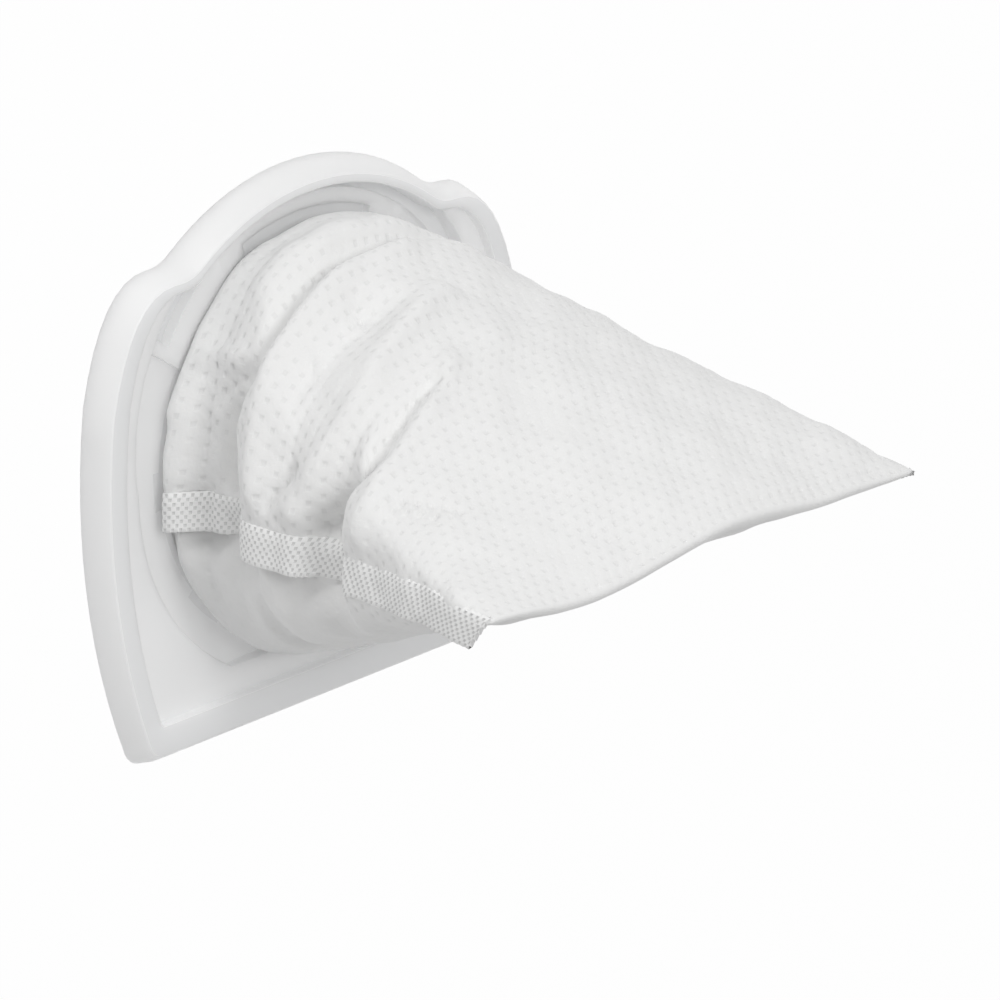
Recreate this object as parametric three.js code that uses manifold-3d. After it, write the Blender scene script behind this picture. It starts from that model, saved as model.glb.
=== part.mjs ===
// Handheld vacuum filter: a moulded frame and the nonwoven bag that it holds.
// Millimetres, +Z up. The filter lies on its mouth: Z = 0 is the mouth plane and the bag rises along +Z.
// The mouth is centred on X = Y = 0, and +Y points to the domed side of the frame.
import * as THREE from 'three';
import { mergeVertices } from 'three/addons/utils/BufferGeometryUtils.js';
import Module from 'manifold-3d';

const wasm = await Module();
wasm.setup();

// Frame outline at the front rim
const sideHalfWidth = 54.1;
const sideArcRadius = 139;
const widestY = -1;
const bottomY = -50.7;
const shoulderY = 39.3;
const domeRadius = 50.9;

// Frame heights above the mouth plane
const frameHeight = 6.5;
const skirtStepHeight = 3.3;
const plateTop = 4.5;
const plateThickness = 1.6;
const seatTop = 1.3;
const funnelFoot = 2.9;
const shelfTop = 3.5;
const slotFloor = 1.2;

// Frame widths
const skirtFlareSide = 1.6;
const skirtFlareBottom = 3;
const skirtFlareDome = 2.8;
const stepFlareShare = 0.6;
const skirtWall = 1.8;
const rimSideWidth = 4.2;
const rimBottomWidth = 6.1;
const rimDomeWidth = 1.8;

// Ring, funnel, shelf and slot. The half angles are measured from the middle of the dome.
const boreRadius = 35.9;
const funnelRadius = 45.2;
const funnelReach = 7;
const ringWall = 1.6;
const chordY = -39;
const slotWidth = 4.4;
const shelfHalfAngle = 56.8;
const slotHalfAngle = 53.7;
const topRecessRadius = 44.6;
const topRecessHalfAngle = 22;
const hollowEndY = 13.2;

// Bag
const clearance = 0.3;
const fabricWall = 1;
const bagTop = 101.7;
const foldHalfWidth = 58.2;
const foldRadius = 1.3;
const bulgeRadius = 41.8;
const bulgeHeight = 10;
const bulgeHeightTop = 5.5;
const bulgeLift = 1.7;
const bellyDepth = 2;
const bellyLift = 1.5;
const foldLift = 3;
const seamBandWidth = 7.8;
const seamBandFoldWidth = 4.6;
const seamBandThickness = 1.2;
const seamBandProud = 0.2;

// The far fold waves up and down from the left corner to the right.
// Each pair is a share of the half width and a share of the wave.
const foldWaveDepth = 2;
const foldWave = [
  [-1, 0.9],
  [-0.52, -1],
  [0.12, 0.9],
  [0.62, -0.3],
  [1, -0.65],
];

// How far the crumpled left side is pushed in, from the ring to the fold.
// Each pair is a share of the height and a share of the depth.
const crumpleDepth = 10.7;
const crumple = [
  [0.035, 0],
  [0.118, 0.8],
  [0.187, 1],
  [0.272, 0.45],
  [0.364, 0.56],
  [0.48, 1],
  [0.55, 0.39],
  [1, 0],
];
const crumpleSlant = 7;
const crumpleReachUp = 85;
const crumpleReachDown = 60;

// How the left seam wanders up and down on its way to the fold.
// Each pair is a share of the height and a share of the drop.
const seamDrop = 4.5;
const seamWander = [
  [0.016, -0.33],
  [0.167, 0],
  [0.216, -1],
  [0.47, -0.22],
  [0.59, 0],
  [1, 0],
];

// Bends without a length of their own
const slopeHollow = 1.6;
const bellyBias = 0.6;
const sheetFlatness = 1.25;
const crumpleOnset = 2;

// Number of steps on curves
const aroundSteps = 48;
const flareSteps = 6;
const riseSteps = 20;
const bandSteps = 24;
const sideSteps = 12;
const domeSteps = 10;
const roundingSteps = 8;
const slopeSteps = 6;
const overcut = 2;

const polypropylene = new THREE.MeshStandardMaterial({ color: 0xe4e6e8, roughness: 0.35, metalness: 0 });
const nonwoven = new THREE.MeshStandardMaterial({ color: 0xf0f0ef, roughness: 0.9, metalness: 0 });

const radians = THREE.MathUtils.degToRad;

// Solids

function toSolid(geometry) {
  geometry.deleteAttribute('normal');
  geometry.deleteAttribute('uv');
  const merged = mergeVertices(geometry, 1e-4);
  const index = merged.index.array;
  const triangles = [];
  for (let i = 0; i < index.length; i += 3) {
    const [a, b, c] = index.slice(i, i + 3);
    if (a !== b && b !== c && c !== a) triangles.push(a, b, c);
  }
  const vertProperties = new Float32Array(merged.attributes.position.array);
  const triVerts = new Uint32Array(triangles);
  return new wasm.Manifold(new wasm.Mesh({ numProp: 3, vertProperties, triVerts }));
}

function toMesh(solid, name, material) {
  const { vertProperties, triVerts } = solid.getMesh();
  const geometry = new THREE.BufferGeometry();
  geometry.setAttribute('position', new THREE.BufferAttribute(new Float32Array(vertProperties), 3));
  geometry.setIndex(new THREE.BufferAttribute(new Uint32Array(triVerts), 1));
  geometry.computeVertexNormals();
  const mesh = new THREE.Mesh(geometry, material);
  mesh.name = name;
  return mesh;
}

// A closed solid through rings of equal length that run anticlockwise, capped at both ends.
function loft(rings) {
  const count = rings[0].length;
  const positions = rings.flat().flatMap((point) => [point.x, point.y, point.z]);
  const faces = [];
  for (let r = 0; r + 1 < rings.length; r++) {
    for (let i = 0; i < count; i++) {
      const a = r * count + i;
      const b = r * count + ((i + 1) % count);
      faces.push(a, b, b + count, a, b + count, a + count);
    }
  }
  const cap = (ring) => THREE.ShapeUtils.triangulateShape(ring.map((p) => new THREE.Vector2(p.x, p.y)), []);
  for (const [a, b, c] of cap(rings[0])) faces.push(c, b, a);
  const last = (rings.length - 1) * count;
  for (const [a, b, c] of cap(rings.at(-1))) faces.push(last + a, last + b, last + c);
  const geometry = new THREE.BufferGeometry();
  geometry.setAttribute('position', new THREE.Float32BufferAttribute(positions, 3));
  geometry.setIndex(faces);
  return toSolid(geometry);
}

const atHeight = (outline, z) => outline.map((point) => new THREE.Vector3(point.x, point.y, z));
const prism = (outline, low, high) => loft([atHeight(outline, low), atHeight(outline, high)]);

function rod(radius, low, high, centreY = 0) {
  const geometry = new THREE.CylinderGeometry(radius, radius, high - low, 2 * aroundSteps);
  geometry.rotateX(Math.PI / 2);
  geometry.translate(0, centreY, (low + high) / 2);
  return toSolid(geometry);
}

// Everything on one side of a line of constant Y.
function halfSpace(fromY, toY) {
  const geometry = new THREE.BoxGeometry(4 * sideHalfWidth, toY - fromY, 4 * frameHeight);
  geometry.translate(0, (fromY + toY) / 2, frameHeight);
  return toSolid(geometry);
}

// Frame

function rounded(start, corner, end) {
  return new THREE.QuadraticBezierCurve(start, corner, end).getPoints(roundingSteps);
}

// How far the roundings reach along the sides of each corner, at the outer edge and inside the rim.
const outerRounding = { corner: 3, side: 22, shoulder: 11, notch: 3 };
const innerRounding = { corner: 0.6, side: 19, shoulder: 10, notch: 2 };

// The frame's outline, moved in by a width of its own along each stretch.
function frameOutline(inset, rounding = outerRounding) {
  const arcCentreX = sideHalfWidth - sideArcRadius;
  const arcRadius = sideArcRadius - inset.side;
  const sidePoint = (y) => {
    const x = arcCentreX + Math.sqrt(arcRadius ** 2 - (y - widestY) ** 2);
    return new THREE.Vector2(x, y);
  };
  const low = bottomY + inset.bottom;
  const high = shoulderY - inset.shoulder;
  const radius = domeRadius - inset.dome;
  const domePoint = (angle) => new THREE.Vector2(radius * Math.cos(angle), radius * Math.sin(angle));
  const notchAngle = Math.asin(high / radius);
  const corner = sidePoint(low);
  const shoulder = sidePoint(high);
  const notch = domePoint(notchAngle);

  const sideLow = low + rounding.corner;
  const sideHigh = high - rounding.side;
  const side = [];
  for (let i = 1; i < sideSteps; i++) side.push(sidePoint(sideLow + ((sideHigh - sideLow) * i) / sideSteps));

  const domeStart = notchAngle + rounding.notch / radius;
  const dome = [];
  const domeSpan = Math.PI / 2 - domeStart;
  for (let i = 1; i <= domeSteps; i++) dome.push(domePoint(domeStart + (domeSpan * i) / domeSteps));

  const bottomEnd = new THREE.Vector2(corner.x - rounding.corner, low);
  const shoulderEnd = new THREE.Vector2(shoulder.x - rounding.shoulder, high);
  const notchStart = new THREE.Vector2(notch.x + rounding.notch, high);
  const right = [
    ...rounded(bottomEnd, corner, sidePoint(sideLow)),
    ...side,
    ...rounded(sidePoint(sideHigh), shoulder, shoulderEnd),
    ...rounded(notchStart, notch, domePoint(domeStart)),
    ...dome,
  ];
  const left = right.slice(0, -1).reverse().map((point) => new THREE.Vector2(-point.x, point.y));
  return [...right, ...left];
}

const noInset = { side: 0, bottom: 0, shoulder: 0, dome: 0 };
const rimInset = { side: rimSideWidth, bottom: rimBottomWidth, shoulder: rimDomeWidth, dome: rimDomeWidth };

// The skirt stands outside the front outline by a share of its flare, less any wall.
const skirtInset = (share, wall = 0) => ({
  side: wall - share * skirtFlareSide,
  bottom: wall - share * skirtFlareBottom,
  shoulder: wall - share * skirtFlareSide,
  dome: wall - share * skirtFlareDome,
});

function frameBody() {
  const rear = frameOutline(skirtInset(1));
  const step = frameOutline(skirtInset(stepFlareShare));
  const front = frameOutline(noInset);
  return loft([atHeight(rear, 0), atHeight(step, skirtStepHeight), atHeight(front, frameHeight)]);
}

// The space inside the rim, with nearly sharp corners at the bottom.
const rimSpace = (floor) => prism(frameOutline(rimInset, innerRounding), floor, frameHeight + overcut);

const fullTurn = Array.from({ length: 2 * aroundSteps }, (_, i) => (Math.PI * i) / aroundSteps);
const polar = (radius, turn) => new THREE.Vector2(radius * Math.cos(turn), radius * Math.sin(turn));
const boreOutline = fullTurn.map((turn) => polar(boreRadius, turn));

// The edge of the funnel in the plate, which reaches further out towards the dome.
function funnelOutline(offset) {
  const radius = (turn) => funnelRadius + funnelReach * Math.max(0, Math.sin(turn)) + offset;
  return fullTurn.map((turn) => polar(radius(turn), turn));
}

// A wedge about the middle of the dome.
function domeSector(halfAngle) {
  const reach = 2 * domeRadius;
  const spread = reach * Math.tan(radians(halfAngle));
  const wedge = [
    new THREE.Vector2(0, 0),
    new THREE.Vector2(spread, reach),
    new THREE.Vector2(-spread, reach),
  ];
  return prism(wedge, -2 * overcut, frameHeight + 2 * overcut);
}

// The bore, the slope that leads down to it from an edge, and all that is open above them.
function slopeSpace(edge, edgeHeight, hollow) {
  const rings = [atHeight(boreOutline, -overcut)];
  for (let i = 0; i <= slopeSteps; i++) {
    const way = i / slopeSteps;
    const outline = boreOutline.map((point, j) => point.clone().lerp(edge[j], way));
    rings.push(atHeight(outline, seatTop + (edgeHeight - seatTop) * way ** hollow));
  }
  rings.push(atHeight(funnelOutline(0), edgeHeight), atHeight(funnelOutline(0), frameHeight + overcut));
  return loft(rings).intersect(rimSpace(-2 * overcut)).intersect(halfSpace(chordY, 2 * domeRadius));
}

// A hollow funnel round the lower half and a straight, higher shelf over the dome.
function funnelSpace() {
  const funnel = slopeSpace(funnelOutline(0), funnelFoot, slopeHollow);
  const shelf = slopeSpace(funnelOutline(-slotWidth), shelfTop, 1);
  const dome = domeSector(shelfHalfAngle);
  return funnel.subtract(dome).add(shelf.intersect(dome));
}

// The deep slot between the shelf and the shell. A rib is left at each of its ends.
function slotSpace() {
  return prism(funnelOutline(0), slotFloor, frameHeight + overcut)
    .subtract(prism(funnelOutline(-slotWidth), 0, frameHeight + 2 * overcut))
    .intersect(rimSpace(slotFloor))
    .intersect(domeSector(slotHalfAngle));
}

// Over the top the shelf gives way to a straight wall.
function topRecess() {
  return rod(topRecessRadius, seatTop, frameHeight + overcut).intersect(domeSector(topRecessHalfAngle));
}

// The hollow under the plate, behind the lower half of the frame.
function rearHollow() {
  const mouthEnd = frameOutline(skirtInset(1, skirtWall));
  const plateEnd = frameOutline(skirtInset(stepFlareShare, skirtWall));
  const inner = loft([
    atHeight(mouthEnd, -overcut),
    atHeight(mouthEnd, 0),
    atHeight(plateEnd, plateTop - plateThickness),
  ]);
  return inner
    .subtract(prism(funnelOutline(ringWall), -2 * overcut, frameHeight))
    .subtract(halfSpace(hollowEndY, 2 * domeRadius));
}

function makeFrame() {
  const solid = frameBody()
    .subtract(rimSpace(plateTop))
    .subtract(funnelSpace())
    .subtract(topRecess())
    .subtract(slotSpace())
    .subtract(rearHollow());
  return toMesh(solid, 'frame', polypropylene);
}

// Bag

// Eased steps through [place, value] pairs, level at each pair.
function eased(pairs, place) {
  const next = pairs.findIndex(([start]) => start > place);
  if (next === 0) return pairs[0][1];
  if (next < 0) return pairs.at(-1)[1];
  const [low, from] = pairs[next - 1];
  const [high, to] = pairs[next];
  return THREE.MathUtils.lerp(from, to, THREE.MathUtils.smoothstep(place, low, high));
}

const hemRadius = boreRadius - clearance;
const hemTop = seatTop + clearance;

// The bag swells out of the ring, sooner at the top than at the bottom.
function flareWay(z, turn) {
  const full = THREE.MathUtils.lerp(bulgeHeight, bulgeHeightTop, (1 + Math.sin(turn)) / 2);
  return Math.sin((Math.PI / 2) * THREE.MathUtils.clamp((z - hemTop) / (full - hemTop), 0, 1));
}

const riseWay = (z) => THREE.MathUtils.clamp((z - bulgeHeight) / (bagTop - bulgeHeight), 0, 1);

const foldRise = (x, rise) => (foldLift + foldWaveDepth * eased(foldWave, x / foldHalfWidth)) * rise ** 2;

// A point of the bag's outer surface. The turn runs from the right seam over the top sheet.
function bagPoint(turn, z, inset = 0) {
  const rise = riseWay(z);
  const flare = flareWay(z, turn);
  const belly = Math.sin(Math.PI * rise ** bellyBias);
  const start = THREE.MathUtils.lerp(hemRadius, bulgeRadius, flare);
  const round = THREE.MathUtils.lerp(start, foldRadius, rise) + bellyDepth * belly - inset;
  const spread = (foldHalfWidth - foldRadius) * rise;
  const across = THREE.MathUtils.clamp(sheetFlatness * Math.asin(Math.cos(turn)), -Math.PI / 2, Math.PI / 2);
  let x = round * Math.cos(turn) + spread * Math.sin(across);
  const y = round * Math.sin(turn) + bulgeLift * flare * (1 - rise) + bellyLift * belly;
  const fromSeam = THREE.MathUtils.radToDeg(Math.PI - turn);
  const reach = fromSeam > 0 ? crumpleReachUp : crumpleReachDown;
  if (Math.abs(fromSeam) < reach) {
    const slant = crumpleSlant * Math.max(0, Math.sin(radians(fromSeam)));
    const weight = Math.cos((Math.PI / 2) * (fromSeam / reach)) ** 2;
    const push = crumpleDepth * eased(crumple, (z + slant * (1 - rise)) / bagTop);
    x += push * weight * Math.min(1, flare * crumpleOnset);
  }
  return new THREE.Vector3(x, y + foldRise(x, rise), z);
}

function bagRing(z, inset = 0) {
  const ring = [];
  for (let i = 0; i < aroundSteps; i++) ring.push(bagPoint((2 * Math.PI * i) / aroundSteps, z, inset));
  return ring;
}

function heights(low, high) {
  const list = [low, hemTop];
  for (let i = 1; i <= flareSteps; i++) list.push(hemTop + ((bulgeHeight - hemTop) * i) / flareSteps);
  for (let i = 1; i <= riseSteps; i++) list.push(bulgeHeight + ((high - bulgeHeight) * i) / riseSteps);
  return list;
}

// The two welded edges stand below the side seams as flat bands.
function seamBand(side) {
  const turn = side > 0 ? 0 : Math.PI;
  const start = hemTop + fabricWall;
  const rings = [];
  for (let i = 0; i <= bandSteps; i++) {
    const z = start + ((bagTop - start) * i) / bandSteps;
    const seam = bagPoint(turn, z);
    const outer = seam.x + side * seamBandProud;
    const inner = outer - side * seamBandThickness;
    const top = seam.y + (side < 0 ? seamDrop * eased(seamWander, z / bagTop) : 0);
    const bottom = top - THREE.MathUtils.lerp(seamBandWidth, seamBandFoldWidth, riseWay(z));
    const corners = [
      [Math.min(outer, inner), bottom],
      [Math.max(outer, inner), bottom],
      [Math.max(outer, inner), top],
      [Math.min(outer, inner), top],
    ];
    rings.push(corners.map(([x, y]) => new THREE.Vector3(x, y, z)));
  }
  return loft(rings);
}

function makeBag() {
  const outer = loft(heights(clearance, bagTop).map((z) => bagRing(z)));
  const cavity = loft(heights(-overcut, bagTop - 2 * fabricWall).map((z) => bagRing(z, fabricWall)));
  const solid = outer.add(seamBand(-1)).add(seamBand(1)).subtract(cavity);
  return toMesh(solid, 'filter_bag', nonwoven);
}

const group = new THREE.Group();
group.name = 'handheld_vacuum_filter';
group.add(makeFrame(), makeBag());

export default group;
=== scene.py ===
# %% [markdown]
# # A handheld vacuum filter
# The filter is a shallow frame moulded in milky polypropylene, and a dust bag of white nonwoven
# fabric that is welded into its round mouth. The bag starts round, is folded straight across at
# its far end, and its two long edges are welded flat into embossed bands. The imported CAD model
# gives the sizes and the place, and this lesson makes the surfaces that a camera sees over it.

import math

import bmesh
import bpy
import numpy as np
from mathutils import Matrix, Vector


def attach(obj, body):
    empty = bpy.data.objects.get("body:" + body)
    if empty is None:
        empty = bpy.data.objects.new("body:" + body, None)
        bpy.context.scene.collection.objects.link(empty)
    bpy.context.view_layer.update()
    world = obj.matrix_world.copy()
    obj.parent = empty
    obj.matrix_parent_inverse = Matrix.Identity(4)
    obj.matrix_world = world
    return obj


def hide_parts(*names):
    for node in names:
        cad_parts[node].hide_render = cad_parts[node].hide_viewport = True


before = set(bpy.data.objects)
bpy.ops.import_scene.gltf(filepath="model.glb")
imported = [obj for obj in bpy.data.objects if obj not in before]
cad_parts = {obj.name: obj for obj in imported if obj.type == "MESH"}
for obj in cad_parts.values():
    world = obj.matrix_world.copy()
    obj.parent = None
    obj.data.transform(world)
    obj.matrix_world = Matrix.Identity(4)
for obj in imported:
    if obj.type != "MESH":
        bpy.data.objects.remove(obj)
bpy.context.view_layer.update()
MM = 0.001


# %% [markdown]
# ## Camera
# The photograph looks at the open side of the frame from its upper left, through a long lens,
# so that the far end of the bag looks hardly smaller than the near one. A camera can be turned by
# hand or made to track a point. Here it is set by its three directions in space (right, up, and
# back towards the photographer), because that keeps the photograph's view exactly.

# %% Camera
CAMERA_PLACE = (-0.6215, 0.3140, 0.6277)
CAMERA_RIGHT = (0.6800, 0.0, 0.7330)
CAMERA_UP = (0.2550, 0.9374, -0.2365)
CAMERA_BACK = (-0.6876, 0.3478, 0.6374)
LENS_MM = 180

camera_data = bpy.data.cameras.new("camera")
camera_data.lens = LENS_MM
camera = bpy.data.objects.new("camera", camera_data)
bpy.context.collection.objects.link(camera)
directions = Matrix((CAMERA_RIGHT, CAMERA_UP, CAMERA_BACK)).transposed()
camera.matrix_world = Matrix.Translation(CAMERA_PLACE) @ directions.to_4x4()
bpy.context.scene.camera = camera
bpy.context.scene.view_settings.view_transform = "Standard"
print("camera is", round(Vector(CAMERA_PLACE).length, 3), "m from the mouth")


# %% [markdown]
# ## Light, floor and background
# A studio photograph of a white object on white needs lamps that leave the white below full
# brightness, or folds and edges vanish. Most of the light comes from all round, as in a white
# tent. Two soft lamps stand above the domed side and in front of it, so each dent and fold has
# a lit side and a shaded one, and the underside of the bag turns a soft grey.
# The floor works as a light table: it glows, so that light also comes through the milky plastic
# from behind. A pure white floor would be simpler, but it would throw so much light that the
# underside of the bag vanishes. So the Light Path node makes the floor and the world white where
# the camera sees them, directly or in gloss, and dimmer where they light the part. A faint
# shadow stays on the floor.

# %% Materials: a small helper
def new_material(name):
    material = bpy.data.materials.new(name)
    material.use_nodes = True
    nodes = material.node_tree.nodes
    return material, nodes, material.node_tree.links, nodes["Principled BSDF"]


# %% What the camera sees directly
def seen_directly(nodes, links):
    """1 for rays that come straight from the camera, off gloss or through clear plastic."""
    path = nodes.new("ShaderNodeLightPath")
    gloss = nodes.new("ShaderNodeMath")
    gloss.operation = "MAXIMUM"
    clear = nodes.new("ShaderNodeMath")
    clear.operation = "MAXIMUM"
    links.new(path.outputs["Is Camera Ray"], gloss.inputs[0])
    links.new(path.outputs["Is Glossy Ray"], gloss.inputs[1])
    links.new(gloss.outputs[0], clear.inputs[0])
    links.new(path.outputs["Is Transmission Ray"], clear.inputs[1])
    return clear.outputs[0]


# %% Floor
FLOOR_HALF = 4.0
FLOOR_GREY = 0.7
FLOOR_WHITE_SHARE = 0.98
FLOOR_GLOW = 0.45

floor_material, nodes, links, floor_shader = new_material("pale_floor")
floor_shader.inputs["Base Color"].default_value = (FLOOR_GREY, FLOOR_GREY, FLOOR_GREY, 1)
floor_shader.inputs["Roughness"].default_value = 0.9
floor_shader.inputs["Specular IOR Level"].default_value = 0.0
white = nodes.new("ShaderNodeEmission")
white.inputs["Color"].default_value = (1, 1, 1, 1)
white.inputs["Strength"].default_value = 1.0
share = nodes.new("ShaderNodeMapRange")
share.inputs["To Min"].default_value = FLOOR_GLOW
share.inputs["To Max"].default_value = FLOOR_WHITE_SHARE
links.new(seen_directly(nodes, links), share.inputs["Value"])
mix = nodes.new("ShaderNodeMixShader")
links.new(share.outputs[0], mix.inputs[0])
links.new(floor_shader.outputs[0], mix.inputs[1])
links.new(white.outputs[0], mix.inputs[2])
links.new(mix.outputs[0], nodes["Material Output"].inputs["Surface"])

floor_mesh = bpy.data.meshes.new("floor")
plane = bmesh.new()
bmesh.ops.create_grid(plane, x_segments=1, y_segments=1, size=FLOOR_HALF)
plane.to_mesh(floor_mesh)
plane.free()
floor_mesh.materials.append(floor_material)
floor = bpy.data.objects.new("floor", floor_mesh)
bpy.context.collection.objects.link(floor)
print("the floor is", 2 * FLOOR_HALF, "m wide")

# %% World
WORLD_LIGHT = 0.44

world = bpy.data.worlds.new("studio")
world.use_nodes = True
bpy.context.scene.world = world
nodes, links = world.node_tree.nodes, world.node_tree.links
ambient = nodes["Background"]
ambient.inputs["Color"].default_value = (1, 1, 1, 1)
ambient.inputs["Strength"].default_value = WORLD_LIGHT
backdrop = nodes.new("ShaderNodeBackground")
backdrop.inputs["Color"].default_value = (1, 1, 1, 1)
backdrop.inputs["Strength"].default_value = 1.0
mix = nodes.new("ShaderNodeMixShader")
links.new(seen_directly(nodes, links), mix.inputs[0])
links.new(ambient.outputs[0], mix.inputs[1])
links.new(backdrop.outputs[0], mix.inputs[2])
links.new(mix.outputs[0], nodes["World Output"].inputs["Surface"])
print("the world lights the part with strength", WORLD_LIGHT)


# %% Lamps
BAG_MIDDLE = Vector((0, 0, 0.04))


def soft_lamp(name, place, width, power):
    """A square lamp that faces the middle of the bag."""
    lamp_data = bpy.data.lights.new(name, "AREA")
    lamp_data.size = width
    lamp_data.energy = power
    lamp = bpy.data.objects.new(name, lamp_data)
    bpy.context.collection.objects.link(lamp)
    aim = BAG_MIDDLE - Vector(place)
    facing = aim.to_track_quat("-Z", "Y").to_matrix().to_4x4()
    lamp.matrix_world = Matrix.Translation(place) @ facing
    print(name, "is", round(aim.length, 2), "m from the bag")


soft_lamp("key_lamp", place=(-0.30, 0.98, 0.35), width=0.25, power=2.2)
soft_lamp("front_lamp", place=(-0.35, 0.45, 0.95), width=0.3, power=3.5)


# %% [markdown]
# ## The moulded frame
# The frame is one injection moulding about 2 mm thick: an outer skirt in two steps, a flat rim, a
# plate, and a funnel that leads down to the ring. The CAD node has every form, but its edges
# are knife sharp, and a mould never makes such an edge. It could be modelled again from scratch.
# Here a merged copy of the CAD mesh is bevelled by a quarter of a millimetre, because that keeps
# each wall in its place and gives each edge the thin highlight of moulded plastic. Milky plastic
# lets light in, so its edges look brighter than its flats. The flat rim and the slots get a
# greyer finish than the rest, which is painted shade, and their rounded edges keep the paler one,
# which beside it works as a painted highlight. Inside corners catch no highlight, and some walls
# are too small to round, so those edges stay crisp.

# %% A helper that puts a finished bmesh in the scene
def finish_piece(shape, name, *materials):
    """Turns a bmesh into an object at the origin that rides on the part's one body."""
    mesh = bpy.data.meshes.new(name)
    shape.to_mesh(mesh)
    shape.free()
    for material in materials:
        mesh.materials.append(material)
    mesh.shade_smooth()
    piece = bpy.data.objects.new(name, mesh)
    bpy.context.collection.objects.link(piece)
    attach(piece, "root")
    print(name, "has", len(mesh.polygons), "faces")
    return piece


# %% Milky polypropylene
def polypropylene(name, tone):
    plastic, nodes, links, shader = new_material(name)
    shader.inputs["Base Color"].default_value = (0.995 * tone, tone, 1.005 * tone, 1)
    shader.inputs["Roughness"].default_value = 0.34
    shader.inputs["IOR"].default_value = 1.49
    shader.inputs["Subsurface Weight"].default_value = 1.0
    shader.inputs["Subsurface Radius"].default_value = (1.0, 1.0, 1.0)
    shader.inputs["Subsurface Scale"].default_value = 0.006
    place = nodes.new("ShaderNodeTexCoord")
    grain = nodes.new("ShaderNodeTexNoise")
    grain.inputs["Scale"].default_value = 900.0
    grain.inputs["Detail"].default_value = 3.0
    links.new(place.outputs["Object"], grain.inputs["Vector"])
    bump = nodes.new("ShaderNodeBump")
    bump.inputs["Strength"].default_value = 0.06
    bump.inputs["Distance"].default_value = 0.0002
    links.new(grain.outputs["Fac"], bump.inputs["Height"])
    links.new(bump.outputs["Normal"], shader.inputs["Normal"])
    return plastic


milky = polypropylene("milky_polypropylene", 0.98)
# The greyer copy is painted shade, for the flat rim and the slots.
painted_shade_plastic = polypropylene("polypropylene_painted_shade", 0.83)
print("plastics:", milky.name, "and", painted_shade_plastic.name)

# %% Which edges stay crisp
SHELF_TOP = 3.7 * MM
SHELF_REACH = 47 * MM
NEARLY_SQUARE = 0.1


def is_end_wall(face):
    """An upright wall that ends the shelf or a slot lies along a ray from the mouth's middle."""
    ray = face.calc_center_median().xy.normalized()
    facing_ray = abs(face.normal.xy.dot(ray))
    return abs(face.normal.z) < NEARLY_SQUARE and facing_ray < NEARLY_SQUARE


def stays_crisp(edge):
    """The shelf, its slots and their end walls are too small to round."""
    if any(is_end_wall(face) for face in edge.link_faces):
        return True
    return all(vert.co.z < SHELF_TOP and vert.co.xy.length < SHELF_REACH for vert in edge.verts)


# %% A merged copy of the CAD frame
MERGE_DISTANCE = 0.002 * MM
FLAT_ANGLE = math.radians(0.5)
RIM_TOP = 6.3 * MM
SLOT_TOP = 1.5 * MM
FACES_UP = 0.9

shell = bmesh.new()
shell.from_mesh(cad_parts["frame"].data)
bmesh.ops.remove_doubles(shell, verts=shell.verts, dist=MERGE_DISTANCE)
bmesh.ops.dissolve_limit(
    shell, angle_limit=FLAT_ANGLE, verts=shell.verts[:], edges=shell.edges[:]
)
# Faces up on the flat rim and in the slots get the greyer plastic, which is painted shade.
for face in shell.faces:
    height = face.calc_center_median().z
    if face.normal.z > FACES_UP and (height > RIM_TOP or height < SLOT_TOP):
        face.material_index = 1
print("the merged frame has", len(shell.faces), "faces")

# %% Round the frame's edges
EDGE_ROUND = 0.25 * MM
SHARP_ANGLE = math.radians(24)

sharp = [edge for edge in shell.edges if edge.calc_face_angle() > SHARP_ANGLE]
outer = [edge for edge in sharp if edge.calc_face_angle_signed() > 0 and not stays_crisp(edge)]
for edge in sharp:
    edge.smooth = edge in outer
rounded = bmesh.ops.bevel(
    shell,
    geom=outer,
    offset=EDGE_ROUND,
    offset_type="OFFSET",
    segments=2,
    profile=0.5,
    affect="EDGES",
    material=-1,
    clamp_overlap=False,
)
# The rounded edges go back to the plastic's own paler tone, which beside the painted shade reads
# as a painted highlight.
for face in rounded["faces"]:
    face.material_index = 0
print("rounded", len(outer), "of", len(sharp), "sharp edges")
moulded_frame = finish_piece(shell, "moulded_frame", milky, painted_shade_plastic)
even_shading = moulded_frame.modifiers.new("even_shading", "WEIGHTED_NORMAL")
even_shading.keep_sharp = True
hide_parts("frame")


# %% [markdown]
# ## The bag's shape
# The bag is one long piece of fabric, folded across at the far end and welded along both sides.
# Its surface is described by where a point lies round the bag (the turn) and how high it is
# above the mouth. The numbers are those of the CAD model, with three changes for the likeness:
# the far fold is a little narrower and thinner, its wave lies further towards the domed side,
# and the upper crumple is deeper and nearer to the fold. The bag leaves the ring, swells, and
# flattens towards the straight fold, and its left side is crumpled. Sculpting could give such a
# shape too, but numbers keep it in its place and can be tried again with other values.

# %% The bag's numbers, in millimetres
HEM_RADIUS = 35.6
HEM_TOP = 1.6
BAG_LOW = 0.3
BAG_TOP = 101.7
FOLD_HALF_WIDTH = 57.4
FOLD_RADIUS = 0.9
BULGE_RADIUS = 41.8
BULGE_HEIGHT = 10.0
BULGE_HEIGHT_TOP = 5.5
BULGE_LIFT = 1.7
BELLY_DEPTH = 2.0
BELLY_LIFT = 1.5
BELLY_BIAS = 0.6
SHEET_FLATNESS = 1.25
FOLD_LIFT = 3.0
FOLD_WAVE_DEPTH = 2.0
FOLD_WAVE = [(-1, 1.35), (-0.52, -0.15), (0.12, 1.5), (0.62, 0.1), (1, -0.4)]
CRUMPLE_DEPTH = 10.7
CRUMPLE = [
    (0.035, 0),
    (0.118, 0.8),
    (0.187, 1),
    (0.272, 0.45),
    (0.364, 0.56),
    (0.51, 1.2),
    (0.575, 0.42),
    (1, 0),
]
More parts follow.
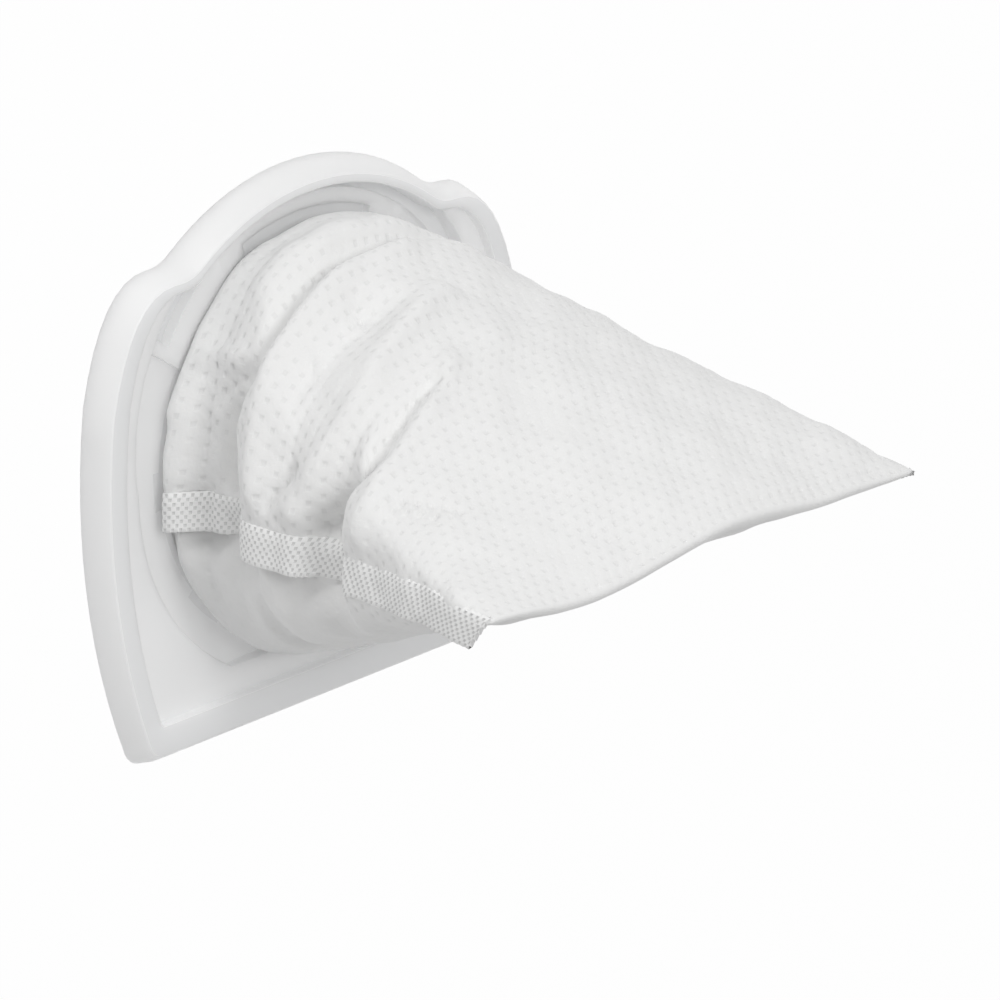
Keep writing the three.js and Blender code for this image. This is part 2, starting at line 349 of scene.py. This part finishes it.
CRUMPLE_SLANT = 7.0
CRUMPLE_REACH_UP = 85.0
CRUMPLE_REACH_DOWN = 60.0
CRUMPLE_ONSET = 2.0


# %% From a turn and a height to a point of the bag
def eased(pairs, place):
    """Eased steps through (place, value) pairs, level at each pair."""
    places, values = np.array(pairs, dtype=float).T
    place = np.clip(place, places[0], places[-1])
    step = np.clip(np.searchsorted(places, place, side="right") - 1, 0, len(places) - 2)
    way = (place - places[step]) / (places[step + 1] - places[step])
    return values[step] + (values[step + 1] - values[step]) * way * way * (3 - 2 * way)


def lerp(a, b, way):
    return a + (b - a) * way


def bag_point(turn, z):
    """Points of the bag's outer surface in mm, for arrays of turns in radians and heights."""
    rise = np.clip((z - BULGE_HEIGHT) / (BAG_TOP - BULGE_HEIGHT), 0, 1)
    full = lerp(BULGE_HEIGHT, BULGE_HEIGHT_TOP, (1 + np.sin(turn)) / 2)
    flare = np.sin(np.pi / 2 * np.clip((z - HEM_TOP) / (full - HEM_TOP), 0, 1))
    belly = np.sin(np.pi * rise**BELLY_BIAS)
    start = lerp(HEM_RADIUS, BULGE_RADIUS, flare)
    cap = np.clip((z - BAG_TOP) / FOLD_RADIUS + 1, 0, 1)
    around = (lerp(start, FOLD_RADIUS, rise) + BELLY_DEPTH * belly) * np.sqrt(1 - cap**2)
    spread = (FOLD_HALF_WIDTH - FOLD_RADIUS) * rise
    across = np.clip(
        SHEET_FLATNESS * np.arcsin(np.clip(np.cos(turn), -1, 1)), -np.pi / 2, np.pi / 2
    )
    x = around * np.cos(turn) + spread * np.sin(across)
    y = around * np.sin(turn) + BULGE_LIFT * flare * (1 - rise) + BELLY_LIFT * belly
    from_seam = np.degrees(np.pi - turn)
    reach = np.where(from_seam > 0, CRUMPLE_REACH_UP, CRUMPLE_REACH_DOWN)
    near = np.clip(np.abs(from_seam) / reach, 0, 1)
    slant = CRUMPLE_SLANT * np.maximum(0, np.sin(np.radians(from_seam)))
    push = CRUMPLE_DEPTH * eased(CRUMPLE, (z + slant * (1 - rise)) / BAG_TOP)
    x = x + push * np.cos(np.pi / 2 * near) ** 2 * np.minimum(1, flare * CRUMPLE_ONSET)
    wave = FOLD_WAVE_DEPTH * eased(FOLD_WAVE, x / FOLD_HALF_WIDTH)
    return np.stack([x, y + (FOLD_LIFT + wave) * rise**2, z + 0 * x], axis=-1)


# %% [markdown]
# ## The fabric laid flat
# Spot-bonded nonwoven comes off its roll with small round dents in staggered rows, 2.8 mm apart.
# Dents could be faked with a bump texture, but then the fabric's outline stays too smooth. So
# the sheet is made flat first: a fine grid whose every fourth face is inset, sunk and poked into
# a small dent. After that the flat sheet is wrapped to the bag's shape, as a sewer would.

# %% The flat sheet's numbers, with lengths in millimetres
CELLS_AROUND = 168
CELLS_ALONG = 94
SHEET_WIDTH = 234.0
SHEET_LENGTH = 113.0
DENT_BORDER = 0.31
DENT_SLOPE = 0.16
DENT_DEPTH = 0.36
DENT_ROWS = 2
PATCH_ACROSS = 7.1
PATCH_ALONG = 9.3
STRIPE_ACROSS = 3.7
UNDERSIDE_FROM = 127
# Shares of a dent's full depth.
USUAL_DENT = 0.85
DENT_CHANGE = 0.2
# Deeper than this share, a dent gets the darker finish, which is painted shade.
SHADED_DENT = 0.6
UNDERSIDE_DENT = 0.35

cell_width = SHEET_WIDTH / CELLS_AROUND
cell_length = SHEET_LENGTH / CELLS_ALONG
print("one cell is", round(cell_width, 2), "by", round(cell_length, 2), "mm")


# %% A flat grid, and how faces are sunk in it
def flat_grid(shape, cells_across, cells_along, width, length):
    """A grid from 0 to width and 0 to length, with a UV map of the flat sheet."""
    shape.loops.layers.uv.new("flat")
    bmesh.ops.create_grid(
        shape, x_segments=cells_across, y_segments=cells_along, size=0.5, calc_uvs=True
    )
    bmesh.ops.translate(shape, verts=shape.verts, vec=(0.5, 0.5, 0))
    bmesh.ops.scale(shape, verts=shape.verts, vec=(width, length, 1))


def emboss(shape, is_dent, border, slope, depth, fade):
    """Sinks the faces that is_dent picks: a border, a sloped wall, and a point in the middle.

    fade gives how much of the depth is left at a point. Dents deeper than SHADED_DENT get the
    second material, a darker finish that is painted shade.
    """
    dents = [face for face in shape.faces if is_dent(face.calc_center_median())]
    bmesh.ops.inset_individual(shape, faces=dents, thickness=border, depth=0)
    for face in dents:
        left = fade(face.calc_center_median())
        # Deep dents get the darker finish: painted shade in the hollow and under the fused film.
        face.material_index = 1 if left > SHADED_DENT else 0
        for vert in face.verts:
            vert.co.z = -slope * left
    middles = bmesh.ops.poke(shape, faces=dents)["verts"]
    for vert in middles:
        vert.co.z = -depth * fade(vert.co)
    return middles


# %% The flat sheet with its dents
def on_staggered_row(middle):
    """Every second cell of every second row, shifted by one cell from row to row."""
    column = int(middle.x / SHEET_WIDTH * CELLS_AROUND)
    row = int(middle.y / SHEET_LENGTH * CELLS_ALONG)
    return row % DENT_ROWS == 0 and (column + row // DENT_ROWS) % 2 == 0


def uneven(place):
    """Shallower dents beside deeper ones, in patches and stripes, and shallow ones under the bag.
    """
    if place.x > UNDERSIDE_FROM:
        return UNDERSIDE_DENT
    patches = math.sin(place.x / PATCH_ACROSS + 1) * math.sin(place.y / PATCH_ALONG)
    stripes = math.sin(place.x / STRIPE_ACROSS)
    return USUAL_DENT + DENT_CHANGE * (patches + stripes)


sheet = bmesh.new()
flat_grid(sheet, CELLS_AROUND, CELLS_ALONG, SHEET_WIDTH, SHEET_LENGTH)
dent_middles = emboss(sheet, on_staggered_row, DENT_BORDER, DENT_SLOPE, DENT_DEPTH, uneven)
print("the flat sheet has", len(dent_middles), "dents and", len(sheet.faces), "faces")


# %% [markdown]
# ## Wrapping the sheet
# Fabric doesn't stretch, so equal steps across the flat sheet have to stay equal steps round the
# bag. For each height the outline is measured from seam to seam, and a table gives the
# turn that lies at each share of the way. Each vertex of the flat sheet then moves to its place
# on the bag, and what was sunk in the flat sheet is sunk along the bag's normal. A cloth
# simulation makes folds of its own, but not the ones in the photograph. So the folds are drawn
# as strokes on the flat sheet, each pressed in or out by up to 4 mm.

# %% Folds pressed into the sheet
# Each fold is a line on the flat sheet, how far it is pressed out (or in, if negative), and its
# half width, all in mm.
FOLDS = {
    "hem_roll": ([(72, 5), (84, 5.2), (96, 5.5), (104, 6.5)], 1.6, 2.4),
    "deep_valley": (
        [(40, 20.5), (60, 21.7), (74, 23), (86, 25), (95, 25.2), (105, 21), (116, 20.8)],
        -3.8,
        2.3,
    ),
    "valley_crest": ([(56, 27), (69, 27.2), (81, 29), (93, 31), (104, 33), (113, 35)], 1.9, 2.7),
    "ring_crest": ([(60, 16), (74, 16), (86, 17.5), (96, 18)], 0.8, 3.0),
    "dotted_hollow": ([(72, 37), (84, 39), (97, 41.5), (106, 41.5)], -2.6, 4.0),
    "bright_ridge": (
        [(60, 41), (73, 45), (81, 47), (88, 50), (95, 51.5), (106, 49), (114, 46)],
        2.8,
        2.8,
    ),
    "dark_valley": (
        [(80, 58), (86, 60), (92, 62), (99, 63), (105, 61), (111, 58), (117, 52)],
        -3.4,
        2.3,
    ),
    "seam_ridge": ([(74, 56), (84, 62), (95, 66.5), (104, 69.5), (112, 70)], 2.0, 2.8),
    "upper_crumple": ([(73, 33), (75, 36), (73, 38)], -1.3, 1.1),
    "middle_crumple": ([(88, 36), (91, 38.5), (96, 38)], -1.1, 1.0),
    "lower_crumple": ([(108, 44), (111, 41), (114, 38)], -2.0, 1.5),
    "small_crease": ([(104, 73), (102, 76), (99, 80), (97, 84)], -1.1, 1.1),
    "second_crease": ([(106, 75), (104, 79), (101, 83)], -0.9, 1.0),
    "ring_ridge": ([(95, 9), (95, 14), (95, 19)], 1.2, 1.6),
    "ring_pit": ([(96, 23), (99, 18), (102, 15)], -1.4, 1.6),
    "under_crest": ([(125, 33), (129, 38), (133, 40), (140, 40)], 1.2, 3.0),
    "under_valley": ([(122, 26), (130, 30), (140, 32), (152, 30)], -1.6, 3.0),
    "long_slack": ([(30, 34), (52, 52), (70, 74), (92, 92)], -0.7, 5.0),
    "right_ridge": ([(7, 28), (9, 60), (8, 98)], 1.2, 6.0),
    "under_hollow": ([(125, 9), (126, 25), (127, 40), (127, 54)], -2.6, 5.0),
    "fold_line": ([(9, 109.4), (36, 109.2), (62, 109.6)], -0.45, 0.5),
    "fold_crease": ([(60, 111.2), (74, 110.6), (90, 111.3)], -0.5, 0.5),
}
# Slack fabric also waves gently all over: height in mm, waves across and along the whole sheet.
SLACK = [
    (0.22, 9, 2),
    (0.18, 14, -5),
    (0.16, 4, 7),
    (0.10, 23, 9),
    (0.08, -17, 14),
    (0.06, 31, -12),
]
HELD_BY_RING = 15
HELD_BY_FOLD = 10
print(len(FOLDS), "folds and", len(SLACK), "slack waves")


def distance_to_line(across, along, line):
    """Distance in mm from points of the flat sheet to a line of several stretches."""
    nearest = np.full(across.shape, np.inf)
    for (x0, y0), (x1, y1) in zip(line, line[1:]):
        dx, dy = x1 - x0, y1 - y0
        way = np.clip(((across - x0) * dx + (along - y0) * dy) / (dx * dx + dy * dy), 0, 1)
        nearest = np.minimum(nearest, np.hypot(across - x0 - way * dx, along - y0 - way * dy))
    return nearest


def fold_height(across, along):
    """How far all folds together press a point of the flat sheet out, in mm."""
    height = np.zeros(across.shape)
    for line, depth, half_width in FOLDS.values():
        height += depth * np.exp(-((distance_to_line(across, along, line) / half_width) ** 2))
    from_ring = np.clip(along / HELD_BY_RING, 0, 1)
    from_fold = np.clip((SHEET_LENGTH - along) / HELD_BY_FOLD, 0, 1)
    loose = from_ring * from_fold
    for swell, around, up in SLACK:
        turns = around * across / SHEET_WIDTH + up * along / SHEET_LENGTH
        height += swell * loose * np.sin(2 * np.pi * turns)
    return height


# %% Table from the flat sheet to the bag
TABLE_ROWS = 240
TABLE_COLUMNS = 337
HALF_TURN_SAMPLES = 400
HEM_SAMPLES = 200
BODY_SAMPLES = 800
MEASURED_EIGHTHS = (1, 2, 3, 5, 6, 7)


def heights_by_length():
    """Heights at equal steps along the sheet, as the mean of six lines that avoid the seams."""
    hem = np.linspace(BAG_LOW, BULGE_HEIGHT, HEM_SAMPLES)
    z = np.concatenate([hem, np.linspace(BULGE_HEIGHT, BAG_TOP, BODY_SAMPLES)[1:]])
    steps = 0
    for eighth in MEASURED_EIGHTHS:
        line = bag_point(np.full_like(z, eighth * np.pi / 4), z)
        steps = steps + np.linalg.norm(np.diff(line, axis=0), axis=1)
    length = np.concatenate([[0], np.cumsum(steps)])
    print("mean length of the sheet:", round(length[-1] / len(MEASURED_EIGHTHS), 1), "mm")
    return np.interp(np.linspace(0, length[-1], TABLE_ROWS), length, z)


def turns_by_length(z):
    """Turns at equal steps round the bag at one height, from the right seam and back to it."""
    turns = []
    for first in (0.0, np.pi):
        turn = np.linspace(first, first + np.pi, HALF_TURN_SAMPLES)
        line = bag_point(turn, np.full_like(turn, z))
        length = np.concatenate([[0], np.cumsum(np.linalg.norm(np.diff(line, axis=0), axis=1))])
        half = np.linspace(0, length[-1], (TABLE_COLUMNS + 1) // 2)
        turns.append(np.interp(half, length, turn))
    return np.concatenate([turns[0], turns[1][1:]])


table_z = heights_by_length()
table_turn = np.array([turns_by_length(z) for z in table_z])
table_point = bag_point(table_turn, table_z[:, None] + 0 * table_turn)
print("table:", table_point.shape)


# %% Reading the table, and its normals
TINY = 1e-9


def read_table(table, across, along):
    """Bilinear reading at shares from 0 to 1 across and along the flat sheet."""
    column_place = np.clip(across, 0, 1) * (table.shape[1] - 1)
    row_place = np.clip(along, 0, 1) * (table.shape[0] - 1)
    column = np.minimum(column_place.astype(int), table.shape[1] - 2)
    row = np.minimum(row_place.astype(int), table.shape[0] - 2)
    past_column = (column_place - column)[..., None]
    past_row = (row_place - row)[..., None]
    low = lerp(table[row, column], table[row, column + 1], past_column)
    high = lerp(table[row + 1, column], table[row + 1, column + 1], past_column)
    return lerp(low, high, past_row)


def surface_normals(points):
    """Outward unit normals of the table, with the sheet closed on itself round the bag."""
    around = np.empty_like(points)
    around[:, 1:-1] = points[:, 2:] - points[:, :-2]
    around[:, 0] = around[:, -1] = points[:, 1] - points[:, -2]
    along = np.gradient(points, axis=0)
    normal = np.cross(around, along)
    return normal / np.maximum(np.linalg.norm(normal, axis=2, keepdims=True), TINY)


# %% Press the folds into the table
table_normal = surface_normals(table_point)
flat_across, flat_along = np.meshgrid(
    np.linspace(0, SHEET_WIDTH, TABLE_COLUMNS), np.linspace(0, SHEET_LENGTH, TABLE_ROWS)
)
table_point = table_point + table_normal * fold_height(flat_across, flat_along)[..., None]
table_normal = surface_normals(table_point)
print("the folded bag is", round(np.ptp(table_point[..., 0]), 1), "mm wide")


# %% Wrap
SEAM_MERGE = 0.02 * MM


def wrap(shape):
    """Moves the flat sheet to the bag's surface, in metres."""
    flat = np.array([vert.co for vert in shape.verts])
    across, along = flat[:, 0] / SHEET_WIDTH, flat[:, 1] / SHEET_LENGTH
    place = read_table(table_point, across, along)
    normal = read_table(table_normal, across, along)
    place = (place + normal * flat[:, 2:3]) * MM
    for vert, point in zip(shape.verts, place):
        vert.co = point


wrap(sheet)
bmesh.ops.remove_doubles(sheet, verts=sheet.verts, dist=SEAM_MERGE)
print("wrapped; open edges:", sum(1 for edge in sheet.edges if edge.is_boundary))


# %% [markdown]
# ## The fabric's finish
# Nonwoven is a mat of fine fibres: dull, a little furry, and not fully even. Where a bond has
# fused it to a film it is clearer, and the shade of the inside shows through. So the fabric has
# a finish for the fluffy part and a darker one for the fused spots, which paints in both that
# shade and the shade in the dents' hollows. The welded bands are two layers thick and pressed
# smooth, so theirs are a little paler, and their fused ovals get a darker finish of painted
# shade too. One finish with a dot pattern could do the same, but then dots and dents would have
# to be kept in step.

# %% Spot-bonded nonwoven and its fused spots
def nonwoven(name, tone, roughness, fluff):
    fabric, nodes, links, shader = new_material(name)
    shader.inputs["Base Color"].default_value = (tone, tone, 0.995 * tone, 1)
    shader.inputs["Roughness"].default_value = roughness
    shader.inputs["Sheen Weight"].default_value = fluff
    shader.inputs["Sheen Roughness"].default_value = 0.5
    place = nodes.new("ShaderNodeTexCoord")
    fibres = nodes.new("ShaderNodeTexNoise")
    fibres.inputs["Scale"].default_value = 1100.0
    fibres.inputs["Detail"].default_value = 5.0
    fibres.inputs["Roughness"].default_value = 0.65
    links.new(place.outputs["Object"], fibres.inputs["Vector"])
    bump = nodes.new("ShaderNodeBump")
    bump.inputs["Strength"].default_value = 0.5
    bump.inputs["Distance"].default_value = 0.00025
    links.new(fibres.outputs["Fac"], bump.inputs["Height"])
    links.new(bump.outputs["Normal"], shader.inputs["Normal"])
    return fabric


fluffy = nonwoven("spot_bonded_nonwoven", 0.86, 0.9, 0.25)
# The two fused finishes are darker: their colour paints in the shade in the dents and the shade
# of the inside seen through the film.
fused_and_shaded_spot = nonwoven("fused_and_shaded_spot", 0.80, 0.6, 0.0)
welded = nonwoven("welded_nonwoven", 0.95, 0.8, 0.1)
fused_and_shaded_band = nonwoven("fused_and_shaded_band_spot", 0.72, 0.5, 0.0)
print("fabric finishes:", fluffy.name, fused_and_shaded_spot.name, welded.name, fused_and_shaded_band.name)

# %% The bag
CLOTH_THICKNESS = 0.45 * MM

# The bag's second finish, on the deep dents, is painted shade.
bag_cloth = finish_piece(sheet, "bag_cloth", fluffy, fused_and_shaded_spot)
wall = bag_cloth.modifiers.new("cloth_thickness", "SOLIDIFY")
wall.thickness = CLOTH_THICKNESS
wall.offset = -1.0
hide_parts("filter_bag")


# %% [markdown]
# ## The welded bands
# Along both sides the two layers are welded flat in a band with a tight pattern of ovals. The
# left band hangs below the seam where everyone sees it. The bands could be part of the sheet,
# but their pattern is much finer, so each band is a flat strip of its own: it is embossed first
# and then laid on its line along the bag, always just outside the sheet that it lies on.

# %% Band numbers, in millimetres
# A dictionary has the left side under -1 and the right side under 1.
BAND_WIDTH = 7.4
BAND_FOLD_WIDTH = {-1: 6.2, 1: 2.8}
BAND_TILT = {-1: 0.0, 1: 0.9}
BAND_SLANT = 0.05
BAND_PROUD = 0.35
BAND_EDGE_SHARE = 0.25
BAND_THICKNESS = 0.8
BAND_START = 2.6
BAND_CELLS_ACROSS = 9
BAND_CELLS_ALONG = 150
OVAL_BORDER = 0.12
OVAL_SLOPE = 0.12
OVAL_DEPTH = 0.22
# How far the left band's upper edge lies above the seam, at shares of the bag's height.
BAND_LIFT = [
    (0, -1.4),
    (0.17, -2.1),
    (0.3, -1.9),
    (0.42, -1.5),
    (0.52, -2),
    (0.6, 0.8),
    (0.83, 1.9),
    (1, 1),
]


# %% Where the sheet lies behind a band
# The table's column at each seam, and how many columns below it a band can cover.
SEAM_COLUMN = {-1: (TABLE_COLUMNS - 1) // 2, 1: 0}
BEHIND_BAND = 40
SEAM_SAMPLES = 400


def seam_at(side, z):
    """Points of the wrapped sheet's seam at heights z."""
    line = table_point[:, SEAM_COLUMN[side]]
    return np.stack([np.interp(z, table_z, places) for places in line.T], axis=-1)


def seam_height(side, share):
    """Heights at shares of the seam's length, from the band's start to the fold."""
    z = np.linspace(BAND_START, BAG_TOP, SEAM_SAMPLES)
    steps = np.linalg.norm(np.diff(seam_at(side, z), axis=0), axis=1)
    length = np.concatenate([[0], np.cumsum(steps)])
    print("the seam is", round(length[-1], 1), "mm long")
    return np.interp(share * length[-1], length, z)


def sheet_reach(side, z, y):
    """How far out in x the sheet below a seam lies, at heights z and y."""
    middle = SEAM_COLUMN[side]
    reach = []
    for row, height in zip(np.interp(z, table_z, np.arange(TABLE_ROWS)), y):
        low = int(min(row, TABLE_ROWS - 2))
        line = lerp(table_point[low], table_point[low + 1], row - low)
        if side < 0:
            line = line[middle : middle + BEHIND_BAND]
        else:
            line = line[: -BEHIND_BAND - 1 : -1]
        order = np.argsort(line[:, 1])
        reach.append(np.interp(height, line[order, 1], line[order, 0]))
    return np.array(reach)


# %% Lay a flat strip on its line along the bag
def lay_on_seam(strip, side):
    """Moves the strip outside whatever lies furthest out, the seam or the sheet below it."""
    flat = np.array([vert.co for vert in strip.verts])
    down = flat[:, 0] / BAND_WIDTH
    z = seam_height(side, flat[:, 1] / SHEET_LENGTH)
    z = np.maximum(z * (1 - BAND_SLANT * down), BAND_START)
    seam = seam_at(side, z)
    lift = eased(BAND_LIFT, z / BAG_TOP) if side < 0 else 0
    rise = np.clip((z - BULGE_HEIGHT) / (BAG_TOP - BULGE_HEIGHT), 0, 1)
    width = lerp(BAND_WIDTH, BAND_FOLD_WIDTH[side], rise**3)
    tilt = BAND_TILT[side] * rise**2
    y = seam[:, 1] + lift - width * down * np.cos(tilt)
    outer = np.maximum(side * seam[:, 0], side * sheet_reach(side, z, y))
    proud = BAND_PROUD * np.minimum(1, down / BAND_EDGE_SHARE) + width * down * np.sin(tilt)
    x = side * (outer + proud + flat[:, 2])
    for vert, point in zip(strip.verts, np.stack([x, y, z], axis=-1) * MM):
        vert.co = point


# %% Make both bands
def in_chequers(middle):
    """Every second cell of the band, as the dark fields of a chessboard."""
    column = int(middle.x / BAND_WIDTH * BAND_CELLS_ACROSS)
    row = int(middle.y / SHEET_LENGTH * BAND_CELLS_ALONG)
    return (column + row) % 2 == 0


def equally_deep(place):
    return 1


def seam_band(name, side):
    strip = bmesh.new()
    flat_grid(strip, BAND_CELLS_ACROSS, BAND_CELLS_ALONG, BAND_WIDTH, SHEET_LENGTH)
    emboss(strip, in_chequers, OVAL_BORDER, OVAL_SLOPE, OVAL_DEPTH, equally_deep)
    lay_on_seam(strip, side)
    if side > 0:
        bmesh.ops.reverse_faces(strip, faces=strip.faces)
    # The band's ovals get the darker finish, painted shade in their hollows.
    band = finish_piece(strip, name, welded, fused_and_shaded_band)
    thickness = band.modifiers.new("band_thickness", "SOLIDIFY")
    thickness.thickness = BAND_THICKNESS * MM
    thickness.offset = -1.0
    return band


left_band = seam_band("left_band", -1)
right_band = seam_band("right_band", 1)
